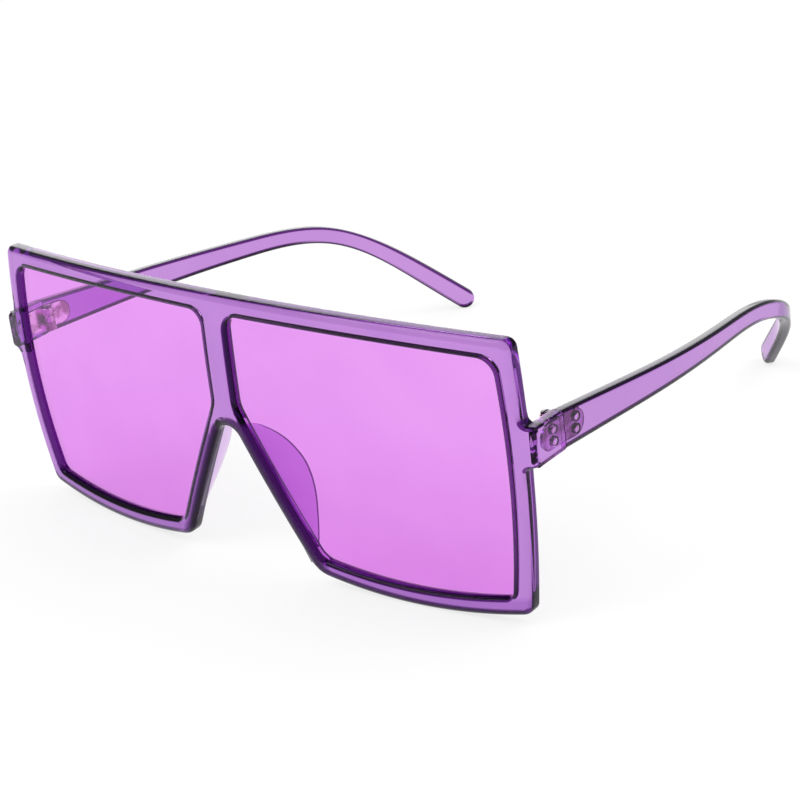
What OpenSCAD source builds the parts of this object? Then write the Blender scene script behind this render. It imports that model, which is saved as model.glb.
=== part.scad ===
/* [Front] */
// Width of the brow between its two top corners
brow_w = 146; // [130:1:160]
// Width between the two outer bottom corners
foot_w = 143.4; // [125:0.2:158]
// Width between the two inner bottom corners, each side of the nose
nose_foot_w = 37.8; // [32:0.2:44]
// Height of the front from the lowest rim to the top of the brow
front_h = 64.6; // [56:0.2:72]
// Rise of the brow from its ends to its middle
brow_crown = 1.4; // [0.4:0.1:3]
// Rise of the rim's bottom corners above its lowest point
foot_rise = 2.7; // [1:0.1:4]
// How far each side edge swells out from a straight line
side_swell = 2.15; // [0.5:0.05:3]
// Height at which the two nose edges would meet
nose_peak_z = 38.7; // [34:0.1:42]
// Radius of the arch over the nose
arch_r = 3.75; // [2.5:0.05:5]
// Thickness of the front
front_t = 3.2; // [2.6:0.1:4]
// Radius of the ball that the front is bent to
bow_r = 385; // [250:5:600]

/* [Rims] */
// Width of the brow bar above a lens
rim_top = 4.4; // [3:0.1:6]
// Width of the rim beside a lens
rim_side = 3.9; // [3:0.1:6]
// Width of the rim below a lens
rim_bottom = 3.6; // [3:0.1:6]
// Width of the rim along the nose
rim_nose = 3.5; // [3:0.1:5]
// Width of the bridge between the two lenses
bridge_w = 7.2; // [5:0.1:9]

/* [Lenses] */
// Thickness of a lens
lens_t = 1.6; // [1.2:0.1:1.8]
// Depth of a lens behind the face of the front
lens_set = 0.9; // [0.6:0.1:1.2]
// How far a lens reaches into its groove
lens_lap = 0.8; // [0.5:0.1:1.2]
// Clearance of a lens in its groove, on every side
lens_gap = 0.03; // [0.01:0.01:0.06]

/* [End pieces] */
// How far an end piece stands out past the rim beside it
lug_out = 3; // [2.9:0.1:5]
// Height of an end piece where it leaves the rim
lug_h = 8.8; // [8.6:0.1:11]
// Depth of the joint between end piece and temple behind the bridge
joint_y = 17.7; // [17:0.1:22]
// Height of the middle of the joint above the lowest rim
joint_z = 41.4; // [38:0.1:46]
// Gap between the end piece and the temple when open
joint_gap = 0.2; // [0.1:0.05:0.4]

/* [Temples] */
// Height of a temple at the joint
temple_joint_h = 8.5; // [8:0.1:8.6]
// Height of a temple at its waist
temple_waist_h = 4.4; // [3.6:0.1:7]
// Height of the rounded tip
tip_h = 5.4; // [4.6:0.1:8]
// Thickness of a temple
temple_t = 2.8; // [2.6:0.1:3.4]
// Distance from the joint to the start of the downward bend
bend_start = 67; // [58:1:74]
// Distance from the joint to the end of the downward bend
bend_end = 125.5; // [112:0.5:130]
// Distance from the joint to the waist
waist_at = 102; // [80:1:110]
// Downward slope of the straight run, in degrees
run_slope = 5.4; // [4:0.1:6.5]
// Downward slope at the tip, in degrees
tip_slope = 40.3; // [37:0.1:44]
// Distance from the joint to the start of the inward lean
lean_start = 17.5; // [10:0.5:30]
// Distance from the joint to the end of the inward lean
lean_end = 73; // [60:1:80]
// Inward lean, in degrees
lean = 8.3; // [5:0.1:10]
// Distance from the joint to the start of the inward turn
turn_start = 89; // [84:1:98]
// Distance from the joint to the end of the inward turn
turn_end = 124; // [112:1:130]
// Inward turn of the tip, in degrees
tip_turn = 45; // [36:1:50]

/* [Hinges] */
// Outer radius of the knuckles
knuckle_r = 1.3; // [1.15:0.05:1.5]
// Radius of the screw's shank
shank_r = 0.55; // [0.45:0.05:0.6]
// Radial clearance of the shank in the knuckles
shank_gap = 0.05; // [0.03:0.01:0.08]
// Height of the three knuckles together
barrel_h = 5.6; // [5:0.1:5.6]
// Clearance between neighbouring knuckles
knuckle_gap = 0.1; // [0.05:0.01:0.2]
// Thickness of a hinge leaf
leaf_t = 1; // [0.8:0.05:1.2]
// Height of a hinge leaf
leaf_h = 5.7; // [5.6:0.1:6.4]
// Length of the front leaf
front_leaf_l = 6.5; // [6:0.1:6.7]
// Length of the temple leaf
temple_leaf_l = 7.3; // [6.4:0.1:9]
// Radius of the screw's head
head_r = 1.1; // [0.9:0.05:1.25]
// Height of the screw's head
head_h = 0.7; // [0.5:0.05:0.9]
// Width of the slot in the screw's head
slot_w = 0.35; // [0.25:0.05:0.5]
// Radius of an anchor stud's neck
neck_r = 0.7; // [0.5:0.05:0.9]
// Radius of an anchor stud's head
stud_r = 1.1; // [0.9:0.05:1.3]
// Distance between the two studs of a leaf
stud_pitch = 2.6; // [2.5:0.1:3]
// Distance of the front studs from the joint
front_stud_at = 2.6; // [2:0.1:4]
// Distance of the temple studs from the joint
temple_stud_at = 4.5; // [3:0.1:6]

/* [Nose pads] */
// How far a nose pad stands behind the front
pad_reach = 8.8; // [6:0.1:10]
// Thickness of a nose pad
pad_t = 1.9; // [1.4:0.1:2.4]
// Outward flare of a nose pad, in degrees
pad_flare = 16; // [10:1:24]

/* [Hidden] */
$fn = 64;
over = 0.5 * front_t;                 // one overrun for every cut
fit_gap = 0.05 * leaf_t;              // clearance of sunk metal in the plastic
edge_steps = 10;                      // straight steps along a swelling edge
turn_step = 12;                       // degrees of a corner's arc for each step
run_steps = 8;                        // steps along a straight run of a temple
bend_steps = 22;                      // steps along the bend of a temple

// Eased share, from 0 to 1
function ease(s) = (1 - cos(180 * min(1, max(0, s)))) / 2;

// Corner radii of the outline and of the lens openings
foot_in_r = 1.8 * rim_nose;
foot_out_r = 0.8 * rim_bottom;
brow_r = 0.5 * rim_top;
lens_brow_out_r = 0.9 * rim_top;
lens_brow_in_r = 0.75 * rim_top;
lens_foot_in_r = 1.2 * rim_nose;
lens_foot_out_r = 0.6 * rim_bottom;
lens_bridge_r = 1.7 * rim_nose;

// The end piece and the hinge
joint_share = (joint_z - foot_rise) / (front_h - brow_crown - foot_rise);
rim_x = foot_w / 2 + (brow_w - foot_w) / 2 * joint_share
  + 4 * side_swell * joint_share * (1 - joint_share);
lug_x = rim_x + lug_out;
inner_x = lug_x - temple_t;
barrel_clear = 0.08 * knuckle_r;      // clearance between the barrel and the plastic
axis_x = inner_x - knuckle_r - barrel_clear;
knuckle_h = (barrel_h - 2 * knuckle_gap) / 3;
stud_l = temple_t - leaf_t;
lug_low = joint_z - lug_h / 2;
lug_high = joint_z + lug_h / 2;
fillet_share = 0.6;                   // share of the end piece's overhang that its fillets take up
pad_root = 0.6 * front_t;             // depth at which a nose pad grows out of the rim

// The temple's side outline, drawn flat: distance from the joint, height, slope
bend_l = bend_end - bend_start;
bend_z = joint_z - bend_start * tan(run_slope);
function slope_at(u) = run_slope + (tip_slope - run_slope) * ease((u - bend_start) / bend_l);
bend_path = [for (i = 0, z = bend_z; i <= bend_steps;
    z = z - bend_l / bend_steps * tan(slope_at(bend_start + (i + 0.5) * bend_l / bend_steps)), i = i + 1)
  let (u = bend_start + i * bend_l / bend_steps) [u, z, slope_at(u)]];
run_end_z = bend_path[bend_steps][1];
tip_u = bend_end + (run_end_z - tip_h / 2) / tan(tip_slope);
side_path = concat(
  [for (i = [0 : run_steps - 1]) let (u = bend_start * i / run_steps)
    [u, joint_z - u * tan(run_slope), run_slope]],
  bend_path,
  [for (k = [0, 1]) [tip_u + k * tip_h * cos(tip_slope), tip_h / 2 - k * tip_h * sin(tip_slope), tip_slope]]);

// The temple's outer face from above: distance from the joint, x, y, inward angle
plan_steps = 40;
plan_l = tip_u + 3 * tip_h;
function inward_at(u) = lean * ease((u - lean_start) / (lean_end - lean_start))
  + (tip_turn - lean) * ease((u - turn_start) / (turn_end - turn_start));
function heading(a) = [-sin(a), cos(a)];
plan_step = plan_l / plan_steps;
plan_path = [for (i = 0, p = [lug_x, joint_y]; i <= plan_steps;
    p = p + plan_step * heading(inward_at((i + 0.5) * plan_step)), i = i + 1)
  let (u = i * plan_step) [u, p[0], p[1], inward_at(u)]];
depth_table = [for (p = plan_path) [p[0], p[2] - temple_t / 2 * sin(p[3])]];
tip_x = lookup(tip_u, [for (p = plan_path) [p[0], p[1]]]);
tip_y = lookup(tip_u, [for (p = plan_path) [p[0], p[2]]]);
depth = tip_y + tip_h / 2 * cos(tip_turn);

// Rear edge of a nose pad: shares of the nose edge, and of the reach
pad_edge_shares = [0, 0.035, 0.1, 0.18, 0.27, 0.39, 0.51, 0.63, 0.75, 0.85, 0.94, 1];
pad_reach_shares = [0, 0.3, 0.54, 0.75, 0.9, 1, 0.97, 0.84, 0.63, 0.43, 0.22, 0];
pad_span_shares = [0.12, 0.94];

// Plane geometry
function flat(p) = [p[0], p[1]];
function unit(v) = v / norm(v);
function cross2(a, b) = a[0] * b[1] - a[1] * b[0];
function outward(a, b) = unit([b[1] - a[1], a[0] - b[0]]);
function meet(p, d, q, e) = p + d * cross2(q - p, e) / cross2(d, e);
function shortest(a) = a > 180 ? a - 360 : a < -180 ? a + 360 : a;

// A closed loop's corners [x, z, radius], with each edge swollen outwards by its own amount
function swollen(corners, swells) = [
  for (i = [0 : len(corners) - 1])
    let (a = corners[i], b = corners[(i + 1) % len(corners)], n = outward(flat(a), flat(b)))
      for (k = [0 : swells[i] == 0 ? 0 : edge_steps - 1])
        let (s = k / edge_steps, out = 4 * swells[i] * s * (1 - s))
          [a[0] + (b[0] - a[0]) * s + n[0] * out, a[1] + (b[1] - a[1]) * s + n[1] * out,
            k == 0 ? a[2] : 0]];

// The same loop moved outwards by d
function grown(loop, d) = [
  for (i = [0 : len(loop) - 1])
    let (m = len(loop), a = flat(loop[(i + m - 1) % m]), b = flat(loop[i]), c = flat(loop[(i + 1) % m]),
      n1 = outward(a, b), n2 = outward(b, c), q = b + (n1 + n2) * d / (1 + n1 * n2),
      convex = cross2(b - a, c - b) > 0)
      [q[0], q[1], loop[i][2] == 0 ? 0 : max(loop[i][2] + (convex ? d : -d), abs(d) / 10)]];

// The loop's corners rounded to their radii
function rounded(loop) = [
  for (i = [0 : len(loop) - 1])
    let (m = len(loop), a = flat(loop[(i + m - 1) % m]), b = flat(loop[i]), c = flat(loop[(i + 1) % m]),
      r = loop[i][2])
      each r == 0 ? [b] : corner(b, unit(a - b), unit(c - b), r)];
function corner(b, u, v, r) =
  let (half = acos(u * v) / 2, centre = b + unit(u + v) * r / sin(half),
    from = b + u * r / tan(half) - centre, to = b + v * r / tan(half) - centre,
    a0 = atan2(from[1], from[0]), turn = shortest(atan2(to[1], to[0]) - a0),
    steps = ceil(abs(turn) / turn_step))
    [for (k = [0 : steps]) centre + r * [cos(a0 + turn * k / steps), sin(a0 + turn * k / steps)]];

// Corners of the front's outline, anticlockwise from the nose
foot_in = [nose_foot_w / 2, foot_rise];
foot_out = [foot_w / 2, foot_rise];
brow_end = [brow_w / 2, front_h - brow_crown];
nose_peak = [0, nose_peak_z];
function mirrored(p) = [-p[0], p[1], p[2]];
function with_r(p, r) = [p[0], p[1], r];
half_outline = [with_r(foot_in, foot_in_r), with_r(foot_out, foot_out_r), with_r(brow_end, brow_r)];
outline = swollen(
  [with_r(nose_peak, arch_r), each half_outline, mirrored(half_outline[2]),
    mirrored(half_outline[1]), mirrored(half_outline[0])],
  [0, foot_rise, side_swell, brow_crown, side_swell, foot_rise, 0]);

// Corners of the left lens opening: the outline's edges moved in by the rims' widths
nose_in = nose_peak - outward(nose_peak, foot_in) * rim_nose;
foot_line = foot_in + [0, rim_bottom];
side_in = foot_out - outward(foot_out, brow_end) * rim_side;
brow_line = brow_end - [0, rim_top];
brow_fall = [brow_w / 2, -brow_crown];
bridge_line = [bridge_w / 2, 0];
opening_corners = [
  with_r(meet(nose_in, foot_in - nose_peak, foot_line, [1, 0]), lens_foot_in_r),
  with_r(meet(foot_line, [1, 0], side_in, brow_end - foot_out), lens_foot_out_r),
  with_r(meet(side_in, brow_end - foot_out, brow_line, brow_fall), lens_brow_out_r),
  with_r(meet(brow_line, brow_fall, bridge_line, [0, 1]), lens_brow_in_r),
  with_r(meet(bridge_line, [0, 1], nose_in, foot_in - nose_peak), lens_bridge_r)];
foot_share = 0.8;                     // share of the rim's lower swell that the opening has
crown_share = 0.3;                    // share of the brow's rise that the opening has
opening = swollen(opening_corners,
  [foot_share * foot_rise, side_swell, crown_share * brow_crown, 0, 0]);

// A flat shape drawn in x and z, made into a plate from y = 0 back to y = d
module upright(d) {
  rotate([90, 0, 0]) translate([0, 0, -d]) linear_extrude(d) children();
}

// A flat shape drawn in y and z, made into a plate from x = 0 to x = w
module sideways(w) {
  rotate([90, 0, 90]) linear_extrude(w) children();
}

// A shell bent to the front's ball, from depth y0 to depth y1
module bowed(y0, y1) {
  translate([0, bow_r, front_h / 2]) difference() {
    sphere(bow_r - y0, $fn = 256);
    sphere(bow_r - y1, $fn = 256);
  }
}

// The whole model stands with its middle over the origin
module placed() {
  translate([0, -depth / 2, 0]) children();
}

module mirror_pair() {
  children();
  mirror([1, 0, 0]) children();
}

// The face of an end piece, which widens the rim where the hinge is, with a fillet above and below
module lug_face() {
  start = inner_x - rim_side;
  fillet = fillet_share * lug_out;
  translate([start, lug_low]) square([lug_x - start, lug_h]);
  for (s = [0, 1]) translate([rim_x, joint_z]) mirror([0, s]) translate([0, lug_h / 2]) difference() {
    translate([-fillet, -fillet]) square([2 * fillet, 2 * fillet]);
    translate([fillet, fillet]) circle(fillet);
  }
}

// The bar of an end piece, which runs back to the joint and tapers to the temple's height
module lug_bar() {
  root = bow_r - sqrt(bow_r * bow_r - inner_x * inner_x) + front_t / 2;
  back = joint_y - joint_gap / 2;
  translate([inner_x, 0, 0]) sideways(temple_t) polygon([
    [root, lug_low], [back, joint_z - temple_joint_h / 2],
    [back, joint_z + temple_joint_h / 2], [root, lug_high]]);
}

// One nose pad: a fin along the nose edge, flared away from the nose
module nose_pad() {
  edge = norm(foot_in - nose_peak);
  tilt = atan2(foot_in[0], nose_peak_z - foot_rise);
  u0 = pad_span_shares[0] * edge;
  span = (pad_span_shares[1] - pad_span_shares[0]) * edge;
  last = len(pad_edge_shares) - 1;
  rear = [for (i = [0 : last])
    [front_t + pad_reach * pad_reach_shares[i], -u0 - span * pad_edge_shares[i]]];
  front_line = [[pad_root, -u0 - span], [pad_root, -u0]];
  translate([0, 0, nose_peak_z]) rotate([0, -tilt, 0]) translate([0, pad_root, 0])
    rotate([0, 0, -pad_flare]) translate([0, -pad_root, 0])
      sideways(pad_t) polygon(concat(rear, front_line));
}

// A hinge leaf's outline, rounded at its far end, with y growing away from the joint
module leaf_face(length, h) {
  translate([0, -h / 2]) square([length - h / 2, h]);
  translate([length - h / 2, 0]) circle(h / 2);
}

// The pocket of a leaf and its studs in the plastic, with y growing away from the joint
module leaf_pocket(length, stud_at) {
  translate([-over, 0, 0]) sideways(leaf_t + fit_gap + over)
    translate([-over, 0]) leaf_face(length + fit_gap + over, leaf_h + 2 * fit_gap);
  translate([leaf_t, 0, 0]) stud_pair(fit_gap, stud_at);
}

// Two anchor studs: a neck and a wider head each
module stud_pair(grow, stud_at) {
  for (s = [-1, 1]) translate([0, stud_at, s * stud_pitch / 2]) rotate([0, 90, 0]) {
    cylinder(h = stud_l / 2, r = neck_r + grow);
    translate([0, 0, stud_l / 4]) cylinder(h = stud_l / 3 + grow, r = stud_r + grow);
  }
}

// What is sunk in an end piece faces forward from the joint, what is sunk in a temple faces back
module at_front_leaf() {
  translate([inner_x, joint_y - joint_gap / 2, joint_z]) mirror([0, 1, 0]) children();
}
module at_temple_leaf() {
  translate([inner_x, joint_y + joint_gap / 2 + leaf_h / 2 * sin(run_slope), joint_z])
    rotate([-run_slope, 0, 0]) children();
}

module front_frame() {
  color("mediumorchid", 0.7) placed() difference() {
    union() {
      intersection() {
        upright(joint_y) union() {
          polygon(rounded(outline));
          mirror_pair() lug_face();
        }
        bowed(0, front_t);
      }
      mirror_pair() lug_bar();
      mirror_pair() nose_pad();
    }
    mirror_pair() translate([0, -over, 0]) upright(joint_y + over) polygon(rounded(opening));
    intersection() {
      mirror_pair() upright(joint_y) polygon(rounded(grown(opening, lens_lap + lens_gap)));
      bowed(lens_set - lens_gap, lens_set + lens_t + lens_gap);
    }
    mirror_pair() at_front_leaf() leaf_pocket(front_leaf_l, front_stud_at);
  }
}

module lens_left() {
  color("orchid", 0.5) placed() intersection() {
    upright(joint_y) polygon(rounded(grown(opening, lens_lap)));
    bowed(lens_set, lens_set + lens_t);
  }
}
module lens_right() { mirror([1, 0, 0]) lens_left(); }

// Half height of a temple at the distance u from the joint
function half_h(u) = u < waist_at
  ? (temple_joint_h + (temple_waist_h - temple_joint_h) * sin(90 * u / waist_at)) / 2
  : (temple_waist_h + (tip_h - temple_waist_h) * ease((u - waist_at) / (tip_u - waist_at))) / 2;

// The temple's side outline, with each distance from the joint turned into depth
module temple_side() {
  face = joint_y + joint_gap / 2;
  up = [for (p = side_path) [p[0] + half_h(p[0]) * sin(p[2]), p[1] + half_h(p[0]) * cos(p[2])]];
  down = [for (i = [len(side_path) - 1 : -1 : 0]) let (p = side_path[i])
    [p[0] - half_h(p[0]) * sin(p[2]), p[1] - half_h(p[0]) * cos(p[2])]];
  intersection() {
    polygon([for (p = concat(up, down)) [p[0] < 0 ? joint_y + p[0] : lookup(p[0], depth_table), p[1]]]);
    translate([face, 0]) square([depth, front_h]);
  }
}

// What is cut off the temple past its rounded tip
module past_tip() {
  reach = 4 * tip_h;
  translate([tip_x, tip_y, tip_h / 2]) rotate([0, 0, tip_turn]) rotate([-tip_slope, 0, 0])
    translate([-reach / 2, 0, 0]) difference() {
      translate([0, 0, -reach / 2]) cube([reach, reach, reach]);
      rotate([0, 90, 0]) cylinder(h = reach, r = tip_h / 2);
    }
}

// The temple from above
module temple_plan() {
  last = len(plan_path) - 1;
  polygon(concat([for (p = plan_path) [p[1], p[2]]],
    [for (i = [last : -1 : 0]) let (p = plan_path[i])
      [p[1] - temple_t * cos(p[3]), p[2] - temple_t * sin(p[3])]]));
}

module temple_left() {
  color("mediumorchid", 0.7) placed() difference() {
    intersection() {
      sideways(lug_x + over) temple_side();
      translate([0, 0, -over]) linear_extrude(front_h + over) temple_plan();
    }
    past_tip();
    at_temple_leaf() leaf_pocket(temple_leaf_l, temple_stud_at);
  }
}
module temple_right() { mirror([1, 0, 0]) temple_left(); }

// A knuckle and the web that joins it to its leaf, for the side of the joint that s gives
module knuckle(level, s) {
  low = joint_z - barrel_h / 2 + level * (knuckle_h + knuckle_gap);
  web = knuckle_r - joint_gap / 2;
  translate([0, 0, low]) difference() {
    union() {
      translate([axis_x, joint_y, 0]) cylinder(h = knuckle_h, r = knuckle_r);
      translate([axis_x, joint_y + (s > 0 ? joint_gap / 2 : -knuckle_r), 0])
        cube([inner_x - axis_x + leaf_t / 2, web, knuckle_h]);
    }
    translate([axis_x, joint_y, -over]) cylinder(h = knuckle_h + 2 * over, r = shank_r + shank_gap);
  }
}

module front_leaf_left() {
  color("rosybrown") placed() {
    at_front_leaf() sideways(leaf_t) leaf_face(front_leaf_l, leaf_h);
    for (level = [0, 2]) knuckle(level, -1);
  }
}
module front_leaf_right() { mirror([1, 0, 0]) front_leaf_left(); }

module temple_leaf_left() {
  color("rosybrown") placed() {
    at_temple_leaf() sideways(leaf_t) leaf_face(temple_leaf_l, leaf_h);
    knuckle(1, 1);
  }
}
module temple_leaf_right() { mirror([1, 0, 0]) temple_leaf_left(); }

module hinge_screw_left() {
  color("silver") placed() translate([axis_x, joint_y, joint_z - barrel_h / 2]) difference() {
    union() {
      cylinder(h = barrel_h, r = shank_r);
      translate([0, 0, barrel_h]) cylinder(h = head_h, r = head_r);
    }
    translate([-slot_w / 2, -head_r - over, barrel_h + head_h / 2])
      cube([slot_w, 2 * (head_r + over), head_h]);
  }
}
module hinge_screw_right() { mirror([1, 0, 0]) hinge_screw_left(); }

module front_studs_left() {
  color("rosybrown") placed() at_front_leaf() translate([leaf_t, 0, 0]) stud_pair(0, front_stud_at);
}
module front_studs_right() { mirror([1, 0, 0]) front_studs_left(); }

module temple_studs_left() {
  color("rosybrown") placed() at_temple_leaf() translate([leaf_t, 0, 0]) stud_pair(0, temple_stud_at);
}
module temple_studs_right() { mirror([1, 0, 0]) temple_studs_left(); }

front_frame();
lens_left();
lens_right();
temple_left();
temple_right();
front_leaf_left();
front_leaf_right();
temple_leaf_left();
temple_leaf_right();
hinge_screw_left();
hinge_screw_right();
front_studs_left();
front_studs_right();
temple_studs_left();
temple_studs_right();
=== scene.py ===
import math
from functools import partial

import bmesh
import bpy
from mathutils import Matrix, Vector
from mathutils.geometry import delaunay_2d_cdt


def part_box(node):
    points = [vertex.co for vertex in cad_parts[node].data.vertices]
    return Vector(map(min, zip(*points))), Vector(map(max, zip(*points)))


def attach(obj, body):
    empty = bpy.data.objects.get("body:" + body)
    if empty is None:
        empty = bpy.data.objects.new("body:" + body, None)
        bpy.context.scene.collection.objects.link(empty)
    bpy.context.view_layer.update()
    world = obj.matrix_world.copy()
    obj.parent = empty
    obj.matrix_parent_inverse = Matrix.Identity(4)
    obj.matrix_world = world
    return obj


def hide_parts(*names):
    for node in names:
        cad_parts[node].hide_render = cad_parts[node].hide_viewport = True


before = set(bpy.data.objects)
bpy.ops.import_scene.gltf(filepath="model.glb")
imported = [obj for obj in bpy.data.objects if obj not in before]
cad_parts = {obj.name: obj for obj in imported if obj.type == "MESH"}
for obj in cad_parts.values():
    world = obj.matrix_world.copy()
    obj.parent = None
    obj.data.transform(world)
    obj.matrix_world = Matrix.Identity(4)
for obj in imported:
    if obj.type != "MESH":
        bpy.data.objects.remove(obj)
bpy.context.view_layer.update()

mm = 0.001
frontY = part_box("front_frame")[0][1] / mm  # foremost point of the front, in mm

# how finely shapes are cut: pitches in mm, arcs in steps, a rounded corner in degrees
# the bands beside a rounding keep the flat faces' shading flat
fine = {"corner": 6, "cutMargin": 1.02, "edgePitch": 1.6, "barPitch": 1.5, "cap": 3.0, "lensCap": 2.6,
        "armCap": 2.2, "leafCap": 2, "rowShare": 0.866, "rimShare": 0.6, "outerSwell": 40, "innerSwell": 30,
        "rounding": 7, "backRounding": 4, "padArc": 12, "padRun": 5, "tipArc": 24, "leafArc": 16,
        "turned": 32, "nearBand": 0.12, "band": 0.2, "leafBand": 0.1, "weld": 1e-4, "tiny": 1e-6,
        "sharpFrom": 40}


def placed(name, data):
    obj = bpy.data.objects.new(name, data)
    bpy.context.scene.collection.objects.link(obj)
    return obj


# camera: where the photograph was taken from, a little rolled
photoCamera = {"place": (0.305747, -0.351756, 0.217822), "turn": 42.327, "tip": 66.121, "roll": -7.692,
               "lens": 94.71, "sensor": 36.0, "clip": (0.01, 20)}


def setCamera(c):
    data = bpy.data.cameras.new("photo_camera")
    data.lens, data.sensor_width = c["lens"], c["sensor"]
    data.clip_start, data.clip_end = c["clip"]
    turn, tip, roll = [Matrix.Rotation(math.radians(c[k]), 4, axis)
                       for k, axis in (("turn", "Z"), ("tip", "X"), ("roll", "Z"))]
    cam = placed("photo_camera", data)
    cam.matrix_world = Matrix.Translation(c["place"]) @ turn @ tip @ roll
    bpy.context.scene.camera = cam


setCamera(photoCamera)
print("camera set")


# flat loops: points run anticlockwise, and every corner of a shape has its own radius
def outwardOf(a, b):
    return Vector((b.y - a.y, a.x - b.x)).normalized()


def crossOf(a, b):
    return a.x * b.y - a.y * b.x


def meetOf(p, d, q, e):
    return p + d * (crossOf(q - p, e) / crossOf(d, e))


def swollenLoop(corners, swells, steps):
    # the side after each corner bulges out by its swell
    loop = []
    for i, (a, r) in enumerate(corners):
        b = corners[(i + 1) % len(corners)][0]
        n = outwardOf(a, b)
        for k in range(steps if swells[i] else 1):
            s = k / steps
            loop.append((a.lerp(b, s) + n * (4 * swells[i] * s * (1 - s)), r if k == 0 else 0))
    return loop


def roundedLoop(loop):
    # points that lie inside a corner's rounding are dropped first
    cuts = []
    for i, (b, r) in enumerate(loop):
        if r:
            half = (loop[i - 1][0] - b).angle(loop[(i + 1) % len(loop)][0] - b) / 2
            cuts.append((b, r / math.tan(half) * fine["cutMargin"]))
    loop = [(p, r) for p, r in loop if r or all((p - b).length > cut for b, cut in cuts)]
    points = []
    for i, (b, r) in enumerate(loop):
        if not r:
            points.append(b)
            continue
        u = (loop[i - 1][0] - b).normalized()
        v = (loop[(i + 1) % len(loop)][0] - b).normalized()
        half = u.angle(v) / 2
        centre = b + (u + v).normalized() * (r / math.sin(half))
        start, stop = [b + way * (r / math.tan(half)) - centre for way in (u, v)]
        a0 = math.atan2(start.y, start.x)
        turn = math.remainder(math.atan2(stop.y, stop.x) - a0, 2 * math.pi)
        steps = max(2, math.ceil(abs(math.degrees(turn)) / fine["corner"]))
        for k in range(steps + 1):
            a = a0 + turn * k / steps
            points.append(centre + Vector((math.cos(a), math.sin(a))) * r)
    return points


def evenLoop(points, pitch):
    # straight stretches longer than the pitch are cut up
    loop = []
    for i, a in enumerate(points):
        b = points[(i + 1) % len(points)]
        steps = max(1, math.ceil((b - a).length / pitch))
        loop += [a.lerp(b, k / steps) for k in range(steps)]
    return loop


def grownLoop(points, d, shares=None):
    # the loop moved outwards by d, or at each point by its share of d
    grown = []
    for i, b in enumerate(points):
        n1 = outwardOf(points[i - 1], b)
        n2 = outwardOf(b, points[(i + 1) % len(points)])
        grown.append(b + (n1 + n2) * (d * (shares[i] if shares else 1) / (1 + n1.dot(n2))))
    return grown


def inLoop(p, loop):
    inside = False
    for i, b in enumerate(loop):
        a = loop[i - 1]
        if (a.y > p.y) != (b.y > p.y) and p.x < a.x + (b.x - a.x) * (p.y - a.y) / (b.y - a.y):
            inside = not inside
    return inside


# edge profiles: how far in from the edge, and how deep, from the front face to the back face
def quarterTurn(into, deep, depth, front, steps):
    turns = [math.pi / 2 * k / steps for k in range(steps + 1)]
    if front:
        return [(into - into * math.sin(a), depth + deep - deep * math.cos(a)) for a in turns]
    return [(into - into * math.cos(a), depth - deep + deep * math.sin(a)) for a in turns]


def softEdge(thick, r, deep=None, back=None):
    deep, back, steps = deep or r, back or r, fine["rounding"]
    return ([(r + fine["nearBand"], 0)] + quarterTurn(r, deep, 0, True, steps)
            + quarterTurn(back, back, thick, False, steps) + [(back + fine["band"], thick)])


def capFaces(rings, pitch):
    # triangles over the area between the outer ring and the holes, with even points inside
    points, areas = [], []
    for ring in rings:
        areas.append(list(range(len(points), len(points) + len(ring))))
        points += ring
    low = Vector((min(p.x for p in rings[0]), min(p.y for p in rings[0])))
    high = Vector((max(p.x for p in rings[0]), max(p.y for p in rings[0])))
    rim = list(points)
    rows = int((high.y - low.y) / (pitch * fine["rowShare"])) + 1
    for j in range(1, rows):
        z = low.y + j * pitch * fine["rowShare"]
        for i in range(int((high.x - low.x) / pitch) + 1):
            p = Vector((low.x + (i + 0.5 * (j % 2)) * pitch, z))
            if inLoop(p, rings[0]) and not any(inLoop(p, hole) for hole in rings[1:]):
                if min((p - q).length_squared for q in rim) > (fine["rimShare"] * pitch) ** 2:
                    points.append(p)
    _, _, faces, origs, _, within = delaunay_2d_cdt(points, [], areas, 0, fine["tiny"])
    kept = [[origs[i][0] for i in face] for face, areasOf in zip(faces, within) if areasOf == [0]]
    return points[len(rim):], kept


def skinRings(bm, rings):
    # four-sided faces from ring to ring; a ring of one point gets triangles
    for near, far in zip(rings, rings[1:]):
        count = max(len(near), len(far))
        for i in range(count):
            j = (i + 1) % count
            corners = (near[i % len(near)], near[j % len(near)], far[j % len(far)], far[i % len(far)])
            bm.faces.new(list(dict.fromkeys(corners)))


def plateMesh(name, rims, bend, pitch=fine["cap"]):
    # a plate from flat rims: each is a loop, its edge profile, the side its material lies on (-1 in, 1 out)
    # and, where the profile narrows or widens on the way round, each point's share of it
    bm = bmesh.new()
    ends = {0: ([], []), -1: ([], [])}
    for loop, profile, side, *shares in rims:
        flats = [grownLoop(loop, side * into, *shares) for into, _ in profile]
        rings = [[bm.verts.new(bend(p, deep)) for p in flat] for flat, (_, deep) in zip(flats, profile)]
        skinRings(bm, rings)
        for end, (verts, outlines) in ends.items():
            verts += rings[end]
            outlines.append(flats[end])
    for end, (verts, outlines) in ends.items():
        deep = rims[0][1][end][1]
        inner, faces = capFaces(outlines, pitch)
        verts += [bm.verts.new(bend(p, deep)) for p in inner]
        for face in faces:
            bm.faces.new([verts[i] for i in face])
    bmesh.ops.remove_doubles(bm, verts=bm.verts, dist=fine["weld"])
    bmesh.ops.recalc_face_normals(bm, faces=bm.faces)
    return meshObject(name, bm)


def shadeSoft(mesh):
    mesh.shade_smooth()
    mesh.set_sharp_from_angle(angle=math.radians(fine["sharpFrom"]))


def meshObject(name, bm):
    # shapes are made in mm, with y counted from the foremost point of the front
    mesh = bpy.data.meshes.new(name)
    toPlace = Matrix.Scale(mm, 4) @ Matrix.Translation((0, frontY, 0))
    bmesh.ops.transform(bm, matrix=toPlace, verts=bm.verts)
    bm.to_mesh(mesh)
    bm.free()
    shadeSoft(mesh)
    return placed(name, mesh)


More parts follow.
